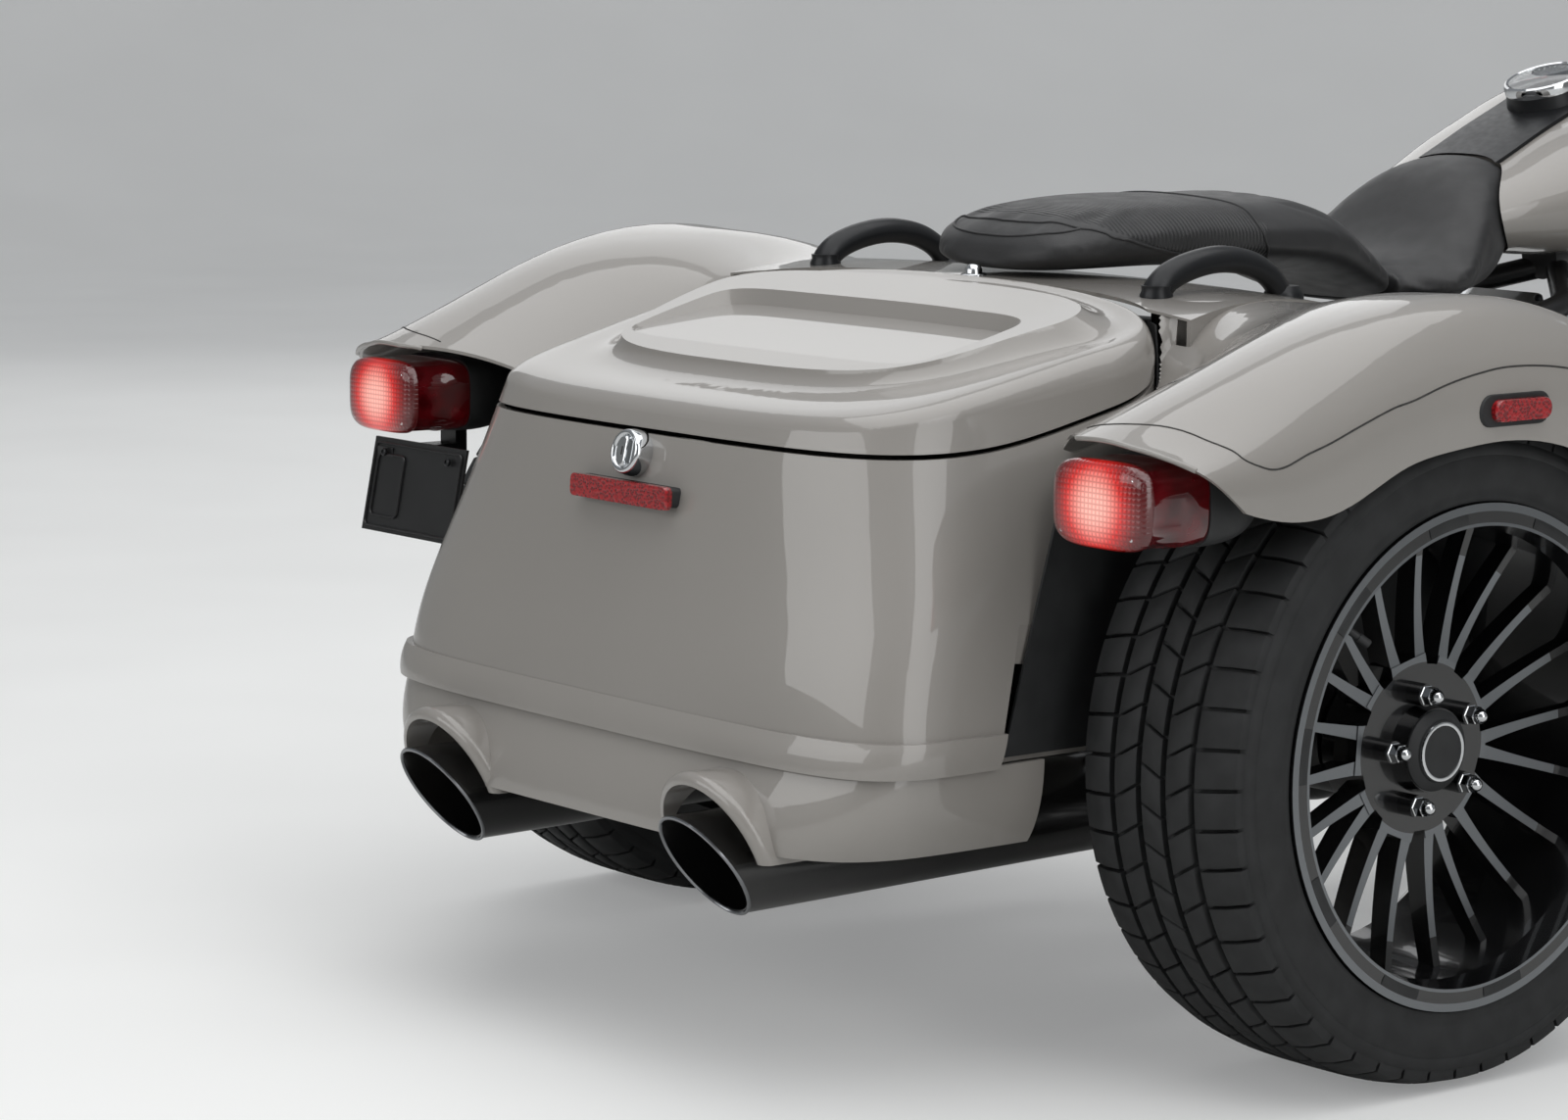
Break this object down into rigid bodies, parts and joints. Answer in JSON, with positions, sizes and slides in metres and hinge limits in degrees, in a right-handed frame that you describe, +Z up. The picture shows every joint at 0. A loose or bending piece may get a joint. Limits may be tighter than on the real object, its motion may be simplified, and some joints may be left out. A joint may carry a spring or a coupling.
{
  "type": "motorized trike",
  "caption": "Motorized trike with a steered front wheel, wide rear fenders, a hinged rear trunk, a two-up seat and an air-cooled V-twin engine.",
  "frame": {"origin": "on the floor, in the middle of the trike's length and width", "axes": "+X to the rider's right, +Y forwards, +Z up"},
  "size_m": [1.4, 2.6437, 1.3101],
  "materials": {
    "warm_grey_paint": "gloss",
    "black_plastic": "matte",
    "red_lens": "gloss",
    "clear_lens": "gloss",
    "amber_lens": "gloss",
    "black_steel": "gloss",
    "satin_black_aluminium": "satin",
    "black_aluminium": "gloss",
    "silver_aluminium": "satin",
    "chrome_metal": "polished",
    "brake_steel": "satin",
    "seat_vinyl": "matte",
    "tyre_rubber": "matte",
    "belt_rubber": "matte",
    "grip_rubber": "matte"
  },
  "bodies": {
    "chassis": {"trunk_tub": "warm_grey_paint", "seat_deck": "warm_grey_paint", "rear_valance": "warm_grey_paint", "fender_right": "warm_grey_paint", "fender_left": "warm_grey_paint", "wheel_liners": "black_plastic", "taillight_lenses": "red_lens", "taillight_housings": "black_plastic", "reflectors": "red_lens", "plate_bracket": "black_steel", "pillion_seat": "seat_vinyl", "rider_seat": "seat_vinyl", "grab_handles": "satin_black_aluminium", "mufflers": "black_steel", "exhaust_headers": "black_steel", "cylinders": "black_aluminium", "rocker_covers": "chrome_metal", "engine_case": "silver_aluminium", "cam_cover": "chrome_metal", "primary_cover": "chrome_metal", "air_cleaner": "chrome_metal", "oil_cooler": "black_steel", "drive_belt": "belt_rubber", "frame": "black_steel", "rear_axle": "black_steel", "shocks": "black_steel", "fuel_tank": "warm_grey_paint", "tank_console": "satin_black_aluminium", "side_covers": "black_plastic", "footrests": "black_steel"},
    "trunk_lid": {"trunk_lid": "warm_grey_paint"},
    "steering": {"fork": "black_steel", "front_fender": "warm_grey_paint", "headlight_nacelle": "black_steel", "headlamp": "clear_lens", "handlebar": "satin_black_aluminium", "hand_controls": "grip_rubber", "mirrors": "satin_black_aluminium", "front_indicators": "amber_lens"},
    "front_wheel": {"front_rim": "black_aluminium", "front_tyre": "tyre_rubber", "front_discs": "brake_steel"},
    "rear_wheel_left": {"rear_rim_left": "black_aluminium", "rear_tyre_left": "tyre_rubber"},
    "rear_wheel_right": {"rear_rim_right": "black_aluminium", "rear_tyre_right": "tyre_rubber"}
  },
  "joints": [
    {"name": "trunk_lid_hinge", "type": "hinge", "parent": "chassis", "child": "trunk_lid", "pos_m": [0, -0.7614, 0.7495], "axis": [-1, 0, 0], "range_deg": [0, 50]},
    {"name": "steering_head", "type": "hinge", "parent": "chassis", "child": "steering", "pos_m": [0, 0.67843, 0.85], "axis": [0, -0.4384, 0.8988], "range_deg": [-36, 36]},
    {"name": "front_wheel_spin", "type": "hinge", "parent": "steering", "child": "front_wheel", "pos_m": [0, 0.994, 0.3193], "axis": [1, 0, 0], "continuous": true},
    {"name": "rear_wheel_left_spin", "type": "hinge", "parent": "chassis", "child": "rear_wheel_left", "pos_m": [-0.552, -0.68, 0.3256], "axis": [1, 0, 0], "continuous": true},
    {"name": "rear_wheel_right_spin", "type": "hinge", "parent": "chassis", "child": "rear_wheel_right", "pos_m": [0.552, -0.68, 0.3256], "axis": [1, 0, 0], "continuous": true}
  ]
}
